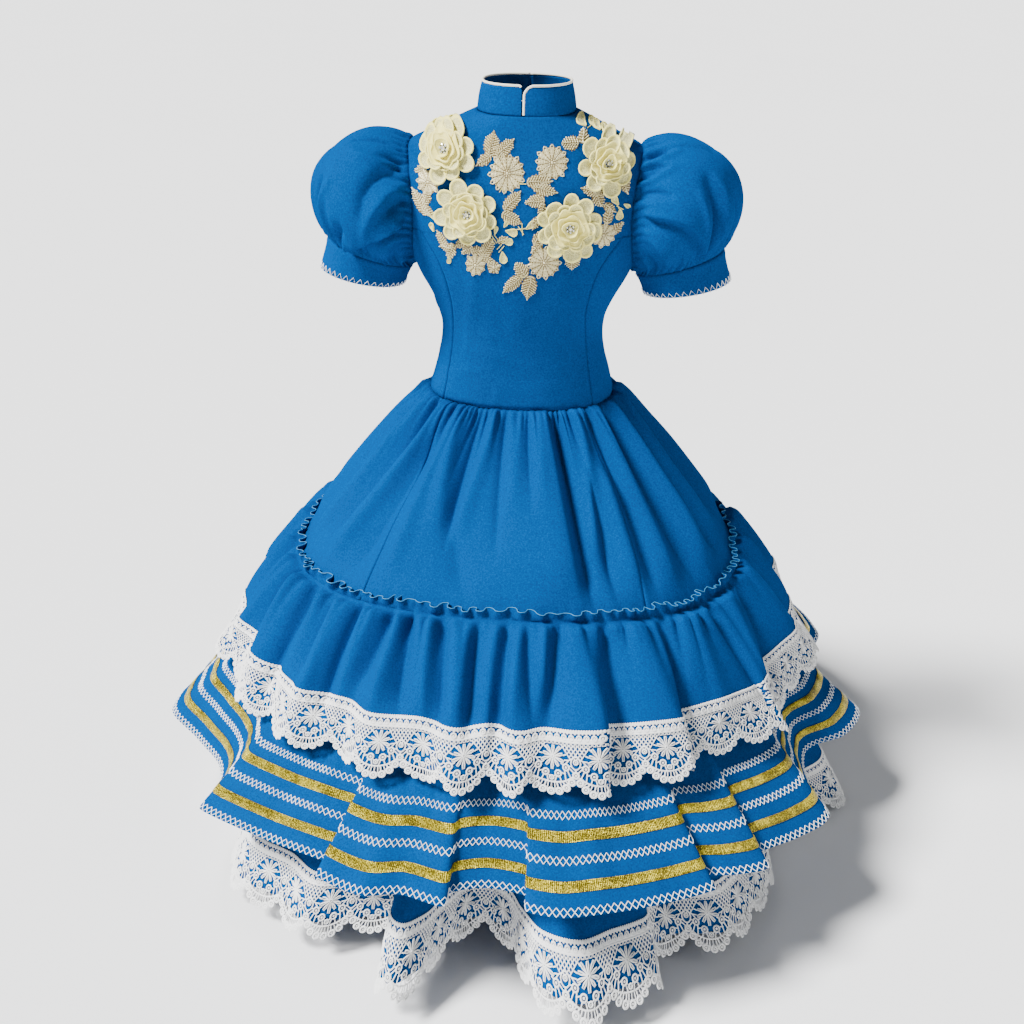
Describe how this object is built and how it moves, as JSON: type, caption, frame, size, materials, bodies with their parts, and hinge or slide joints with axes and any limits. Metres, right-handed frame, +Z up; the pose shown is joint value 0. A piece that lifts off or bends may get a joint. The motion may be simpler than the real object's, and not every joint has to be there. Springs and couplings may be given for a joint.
{
  "type": "escaramuza dress",
  "caption": "Child's escaramuza dress with stand collar, short puff sleeves, fitted bodice and a wide tiered skirt with lace, gold ribbon and chest flowers.",
  "frame": {"origin": "middle of the shoulder line, where the wearer's shoulders carry the dress", "axes": "+Z up along the body, front of the dress towards -Y, +X towards the viewer's right"},
  "size_m": [0.845, 0.8813, 0.8602],
  "materials": {
    "blue_cloth": "azure blue gabardine with a fine twill and a soft sheen",
    "white_lace": "matt white corded guipure lace",
    "gold_ribbon": "woven gold lurex",
    "cream_cloth": "cream flower petals with a corded rim",
    "champagne_beads": "champagne seed beads on net",
    "cream_binding": "cream piping"
  },
  "bodies": {
    "root": {"beaded_flower_1": "champagne_beads", "beaded_flower_2": "champagne_beads", "beaded_flower_3": "champagne_beads", "beaded_flower_4": "champagne_beads", "beaded_flower_5": "champagne_beads", "beaded_flower_6": "champagne_beads", "beaded_leaf_01": "champagne_beads", "beaded_leaf_02": "champagne_beads", "beaded_leaf_03": "champagne_beads", "beaded_leaf_04": "champagne_beads", "beaded_leaf_05": "champagne_beads", "beaded_leaf_06": "champagne_beads", "beaded_leaf_07": "champagne_beads", "beaded_leaf_08": "champagne_beads", "beaded_leaf_09": "champagne_beads", "beaded_leaf_10": "champagne_beads", "beaded_leaf_11": "champagne_beads", "beaded_leaf_12": "champagne_beads", "beaded_leaf_13": "champagne_beads", "beaded_leaf_14": "champagne_beads", "beaded_leaf_15": "champagne_beads", "beaded_leaf_16": "champagne_beads", "bodice_back_left": "blue_cloth", "bodice_back_right": "blue_cloth", "bodice_front": "blue_cloth", "bodice_side_front_left": "blue_cloth", "bodice_side_front_right": "blue_cloth", "collar_binding_left": "cream_binding", "collar_binding_right": "cream_binding", "collar_left": "blue_cloth", "collar_right": "blue_cloth", "flounce_lower": "blue_cloth", "flounce_ribboned": "blue_cloth", "flounce_upper": "blue_cloth", "flower_lower_left": "cream_cloth", "flower_lower_right": "cream_cloth", "flower_upper_left": "cream_cloth", "flower_upper_right": "cream_cloth", "lace_lower_back": "white_lace", "lace_lower_front": "white_lace", "lace_upper_back": "white_lace", "lace_upper_front": "white_lace", "ribbon_gold_lower": "gold_ribbon", "ribbon_gold_upper": "gold_ribbon", "skirt_top_front": "blue_cloth", "skirt_top_left": "blue_cloth", "skirt_top_right": "blue_cloth", "skirt_under": "blue_cloth", "sleeve_cuff_left": "blue_cloth", "sleeve_cuff_right": "blue_cloth", "sleeve_puff_left": "blue_cloth", "sleeve_puff_right": "blue_cloth"}
  },
  "joints": []
}
